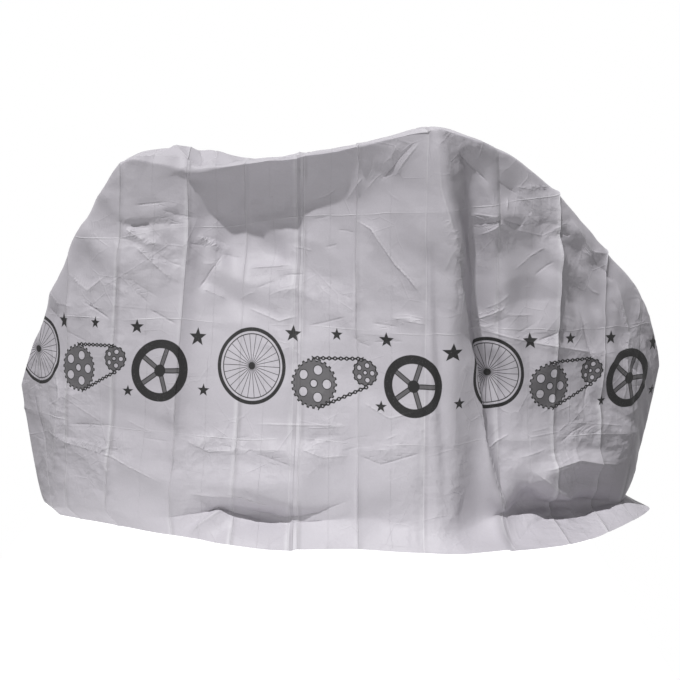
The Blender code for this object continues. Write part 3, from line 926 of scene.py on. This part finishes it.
def cast_wheel(u, v, place, radius):
    """A broad tyre with five cast spokes: (ink, grey)."""
    away, angle = polar(u, v, place)
    tyre = abs(away - 0.86 * radius) - 0.14 * radius
    arms = common(angle.math("PINGPONG", math.pi / 5) * away - 0.07 * radius, away - 0.74 * radius)
    hub = away - 0.20 * radius
    return joined(tyre, abs(arms) - 0.0012, hub), common(arms, away - 0.74 * radius)


def cog(u, v, place, radius, teeth):
    """A toothed wheel with five round holes: (ink, grey)."""
    away, angle = polar(u, v, place)
    wave = (angle * teeth).math("COSINE") * 2.4
    edge = wave.math("MINIMUM", 1.0).math("MAXIMUM", -1.0) * (-0.045 * radius)
    body = away + edge - 0.95 * radius
    turn = angle.math("PINGPONG", math.pi / 5).math("COSINE")
    hole_at, hole = 0.58 * radius, 0.20 * radius
    holes = (away * away + hole_at**2 - away * turn * (2 * hole_at)).math("SQRT") - hole
    bore = away - 0.16 * radius
    plate = common(body, holes * -1.0, bore * -1.0)
    outline = joined(abs(body) - 0.0017, abs(holes) - 0.0010, abs(bore) - 0.0012)
    return outline, plate


def chain(u, v, start, end):
    """A run of links with a light pin in each: (ink,)."""
    length = math.dist(start, end)
    c, s = (end[0] - start[0]) / length, (end[1] - start[1]) / length
    x, y = u - start[0], v - start[1]
    run = x * c + y * s
    aside = y * c - x * s
    waist = (run * (2 * math.pi / CHAIN_PITCH)).math("COSINE") * 0.0015
    links = abs(aside) - waist - 0.0036
    pin_run = run.math("PINGPONG", CHAIN_PITCH / 2)
    pins = (pin_run * pin_run + aside * aside).math("SQRT") - 0.0017
    return (common(links, pins * -1.0, run * -1.0, run - length),)


def star(u, v, place, radius):
    """A star of five points: (ink,)."""
    away, angle = polar(u, v, place)
    turn = (angle - math.pi / 2).math("PINGPONG", math.pi / 5)
    x, y = away * turn.math("COSINE"), away * turn.math("SINE")
    inner = 0.42 * radius
    edge_x, edge_y = inner * math.cos(math.pi / 5) - radius, inner * math.sin(math.pi / 5)
    length = math.hypot(edge_x, edge_y)
    return ((x - radius) * (edge_y / length) - y * (edge_x / length),)


def printed_band(u, v):
    """The printed band: (ink, grey), each from 0 to 1.

    It is a generic row of wheels, cogs, chain and stars. Each figure gives its ink and, if it has a
    filling, its grey.
    """
    u = u.math("FLOORED_MODULO", PRINT_REPEAT)
    ink, grey = [], []
    for figure, rows in (
        (spoked_wheel, SPOKED_WHEELS), (cast_wheel, CAST_WHEELS), (cog, COGS), (chain, CHAINS), (star, STARS),
    ):
        for row in rows:
            lines, *filling = figure(u, v, *row)
            ink.append(lines)
            grey += filling
    return joined(*ink).mask(), joined(*grey).mask()


def set_inputs(node, values):
    """Set these values on a node's sockets."""
    for name, value in values.items():
        node.inputs[name].default_value = value


def noise(tree, scale, detail, roughness):
    """A noise over the film's own place in metres."""
    node = tree.nodes.new("ShaderNodeTexNoise")
    set_inputs(node, {"Scale": scale, "Detail": detail, "Roughness": roughness})
    tree.links.new(own_place(tree), node.inputs["Vector"])
    return Field(tree, node.outputs["Fac"])


def own_place(tree):
    """The film's own place in metres, as a socket."""
    return tree.nodes.new("ShaderNodeTexCoord").outputs["Object"]


def patches(tree, scale, detail, gain, base):
    """1 in soft patches and 0 between them, for what shows on some of the film only."""
    return noise(tree, scale, detail, 0.5).math("MULTIPLY_ADD", gain, base, clamp=True)


def line(aside, width):
    """1 on a line and 0 from this width on, for a signed distance to it."""
    return (abs(aside) * (-1 / width) + 1.0).math("MAXIMUM", 0.0)


def facets(tree, scale):
    """Flat facets with straight edges between them."""
    bend = tree.nodes.new("ShaderNodeTexNoise")
    set_inputs(bend, {"Scale": FACET_BENDS * scale, "Detail": 1.0})
    add = tree.nodes.new("ShaderNodeVectorMath")
    add.operation = "MULTIPLY_ADD"
    add.inputs[1].default_value = (FACET_BEND / scale,) * 3
    cells = tree.nodes.new("ShaderNodeTexVoronoi")
    cells.distance = "MANHATTAN"
    cells.inputs["Scale"].default_value = scale
    tree.links.new(own_place(tree), bend.inputs["Vector"])
    tree.links.new(bend.outputs["Color"], add.inputs[0])
    tree.links.new(own_place(tree), add.inputs[2])
    tree.links.new(add.outputs[0], cells.inputs["Vector"])
    return Field(tree, cells.outputs["Distance"])


def facet_edges(tree, scale, width):
    """1 on the thin edges between flat facets, and 0 from this width on."""
    cells = tree.nodes.new("ShaderNodeTexVoronoi")
    cells.feature = "DISTANCE_TO_EDGE"
    cells.inputs["Scale"].default_value = scale
    tree.links.new(own_place(tree), cells.inputs["Vector"])
    return line(Field(tree, cells.outputs["Distance"]), width * scale)


def mixed(tree, share, a, b):
    """Colour a, or a socket, turned into colour b by this share."""
    node = tree.nodes.new("ShaderNodeMix")
    node.data_type = "RGBA"
    tree.links.new(share.socket, node.inputs["Factor"])
    for name, value in (("A", a), ("B", b)):
        socket = [i for i in node.inputs if i.name == name and i.type == "RGBA"][0]
        if isinstance(value, tuple):
            socket.default_value = (*value, 1.0)
        else:
            tree.links.new(value, socket)
    return [o for o in node.outputs if o.type == "RGBA"][0]


def uv_numbers(tree, name):
    """The two numbers of one of the sheet's UV layers."""
    layer = tree.nodes.new("ShaderNodeUVMap")
    layer.uv_map = name
    parts = tree.nodes.new("ShaderNodeSeparateXYZ")
    tree.links.new(layer.outputs["UV"], parts.inputs[0])
    return Field(tree, parts.outputs["X"]), Field(tree, parts.outputs["Y"])


def crease_lines(tree):
    """What the creases do to the film: (worn_and_highlit, pale, fold, painted_light, painted_shade).

    The packing creases have thin pale lines, here more and there less, and the high ones of the
    small creases are pale too: partly rubbed film and partly painted highlight on the crease tops.
    A fold is the small creases' own relief. Beside an upright crease painted light lies on one side
    and painted shade on the other, standing in for the film's curl there.
    """
    from_upright, over_level = uv_numbers(tree, "creases")
    from_small, power = uv_numbers(tree, "small_creases")
    # The pale lines of the packing creases: partly rubbed film and partly painted highlight.
    worn_and_highlit_patches = patches(tree, *WORN_AND_HIGHLIT_PATCHES)
    upright = line(from_upright, WORN_AND_HIGHLIT_WIDTH)
    level = line(over_level, WORN_AND_HIGHLIT_WIDTH)
    upright_worn_and_highlit = upright * WORN_AND_HIGHLIT_SHARE + WORN_AND_HIGHLIT_PATCH_SHARE * upright * worn_and_highlit_patches
    worn_and_highlit = upright_worn_and_highlit.math("MAXIMUM", level * worn_and_highlit_patches * LEVEL_SHARE)
    # Pale on the high small creases: partly rubbed film and partly painted highlight on their tops.
    thin = line(from_small, WORN_AND_HIGHLIT_WIDTH) * power.math("MAXIMUM", 0.0)
    fold = line(from_small, SMALL_WIDTH) * power
    pale = worn_and_highlit.math("MAXIMUM", thin * SMALL_SHARE)
    here = patches(tree, *BAND_PATCHES)
    # Painted light on one side of an upright crease and painted shade on the other, for the film's curl
    # there.
    painted_light = line(from_upright + BAND_ASIDE, BAND_WIDTH) * here
    painted_shade = line(from_upright - BAND_ASIDE, BAND_WIDTH) * here
    return worn_and_highlit, pale, fold, painted_light, painted_shade


def film_colour(tree, cloud, speckle, ink, grey, pale, painted_light, painted_shade):
    """The film's uneven grey with its pale crease lines, partly rubbed film and partly painted highlight, the
    painted light and painted shade beside the creases, and the print, as a socket.
    """
    tone = (cloud * 0.7 + speckle * 0.3).math("MULTIPLY_ADD", GREY_GAIN, GREY_BASE, clamp=True)
    printed = ink * speckle.math("MULTIPLY_ADD", INK_GAIN, INK_BASE, clamp=True)
    colour = mixed(tree, tone, FILM_DARK, FILM_LIGHT)
    for share, other in (
        # Painted shade and painted light beside the creases, the pale crease lines (partly painted
        # highlight), and the print.
        (painted_shade * PAINTED_SHADE_SHARE, FILM_PAINTED_SHADE),
        (painted_light * PAINTED_LIGHT_SHARE, FILM_WORN_AND_HIGHLIGHT),
        (pale * PALE_SHARE, FILM_WORN_AND_HIGHLIGHT),
        (grey * GREY_SHARE, PRINT_GREY),
        (printed, PRINT_INK),
    ):
        colour = mixed(tree, share, colour, other)
    return colour


def film_relief(tree, speckle, worn_and_highlit, fold):
    """The finest relief: creases, facets of three sizes in patches, thin lines and a faint grain."""
    some = patches(tree, *CRINKLE_PATCHES)
    height = speckle * GRAIN_HEIGHT + worn_and_highlit * WORN_HEIGHT + fold * SMALL_HEIGHT
    for scale, slope in CRINKLES:
        steep = slope / scale
        share = some * ((1 - CRINKLES_EVERYWHERE) * steep) + CRINKLES_EVERYWHERE * steep
        height = height + facets(tree, scale) * share
    patch_share, *patch = FINE_LINE_PATCHES
    for scale, width, lift in FINE_LINES:
        here = patches(tree, patch_share * scale, *patch)
        height = height + facet_edges(tree, scale, width) * here * lift
    return height


def new_material(name):
    """(material, node tree, shader)."""
    material = bpy.data.materials.new(name)
    material.use_nodes = True
    return material, material.node_tree, material.node_tree.nodes["Principled BSDF"]


def placed(name, data):
    """A new object with this data, in the scene."""
    item = bpy.data.objects.new(name, data)
    bpy.context.scene.collection.objects.link(item)
    return item


def film_material():
    """Thin silver-grey plastic film with a soft gloss, fine crinkles and a printed band."""
    material, tree, shader = new_material("silver_film")
    ink, grey = printed_band(*uv_numbers(tree, "film"))
    worn_and_highlit, pale, fold, painted_light, painted_shade = crease_lines(tree)
    cloud = noise(tree, *CLOUDS)
    speckle = noise(tree, *GRAIN)

    colour = film_colour(tree, cloud, speckle, ink, grey, pale, painted_light, painted_shade)
    tree.links.new(colour, shader.inputs["Base Color"])
    rough = cloud * CLOUD_ROUGHNESS + ink * INK_ROUGHNESS + FILM_ROUGHNESS
    tree.links.new(rough.socket, shader.inputs["Roughness"])
    set_inputs(shader, {"Specular IOR Level": FILM_SPECULAR})

    bump = tree.nodes.new("ShaderNodeBump")
    set_inputs(bump, {"Strength": 1.0, "Distance": 1.0})
    tree.links.new(film_relief(tree, speckle, worn_and_highlit, fold).socket, bump.inputs["Height"])
    tree.links.new(bump.outputs["Normal"], shader.inputs["Normal"])
    return material


def build_cover():
    """The cover's film, as the scene's one piece."""
    mesh = sheet_mesh("cover_film", *cover_shape())
    mesh.materials.append(film_material())
    cover = placed("cover_film", mesh)
    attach(cover, "root")
    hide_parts("cover_cloth")


def build_floor():
    """A white floor that glows evenly, so that no shadow shows on it."""
    mesh = bpy.data.meshes.new("floor")
    (left, right), (front, back) = FLOOR_X, FLOOR_Y
    corners = ((left, front), (right, front), (right, back), (left, back))
    mesh.from_pydata([(x, y, -MOUNT_HEIGHT) for x, y in corners], [], [(0, 1, 2, 3)])
    material, _, shader = new_material("pale_floor")
    set_inputs(shader, {
        "Base Color": FLOOR_GREY, "Roughness": 0.9, "Specular IOR Level": 0.0,
        "Emission Color": WHITE, "Emission Strength": FLOOR_GLOW,
    })
    mesh.materials.append(material)
    floor = placed("floor", mesh)


def build_key_light():
    """One key light from overhead, a little in front and on the rear's side."""
    key = bpy.data.lights.new("key", "SUN")
    key.energy = KEY_STRENGTH
    key.angle = math.radians(KEY_SPREAD)
    placed("key", key).rotation_euler = Vector(KEY_DIRECTION).to_track_quat("Z", "Y").to_euler()


def build_surround():
    """A white surround, seen as white by the camera and in the gloss, and softer as a light."""
    world = bpy.data.worlds.new("surround")
    world.use_nodes = True
    nodes, links = world.node_tree.nodes, world.node_tree.links
    soft, white = nodes["Background"], nodes.new("ShaderNodeBackground")
    for background, strength in ((soft, SURROUND_LIGHT), (white, 1.0)):
        set_inputs(background, {"Color": WHITE, "Strength": strength})
    path = nodes.new("ShaderNodeLightPath")
    seen = nodes.new("ShaderNodeMath")
    seen.operation = "MAXIMUM"
    mix = nodes.new("ShaderNodeMixShader")
    links.new(path.outputs["Is Camera Ray"], seen.inputs[0])
    links.new(path.outputs["Is Glossy Ray"], seen.inputs[1])
    links.new(seen.outputs[0], mix.inputs["Fac"])
    links.new(soft.outputs[0], mix.inputs[1])
    links.new(white.outputs[0], mix.inputs[2])
    links.new(mix.outputs[0], nodes["World Output"].inputs["Surface"])
    bpy.context.scene.world = world
    bpy.context.scene.view_settings.view_transform = "Standard"


def build_camera():
    """The photo's view: square on, from just over the cover's top, looking down a little."""
    camera = bpy.data.cameras.new("camera")
    camera.sensor_width = 36.0
    camera.lens = CAMERA_LENS
    view = placed("camera", camera)
    view.location = (0.0, -CAMERA_AWAY, CAMERA_HEIGHT - MOUNT_HEIGHT)
    view.rotation_euler = (math.radians(90 - CAMERA_TILT), 0.0, 0.0)
    bpy.context.scene.camera = view


build_camera()
build_floor()
build_key_light()
build_surround()
build_cover()
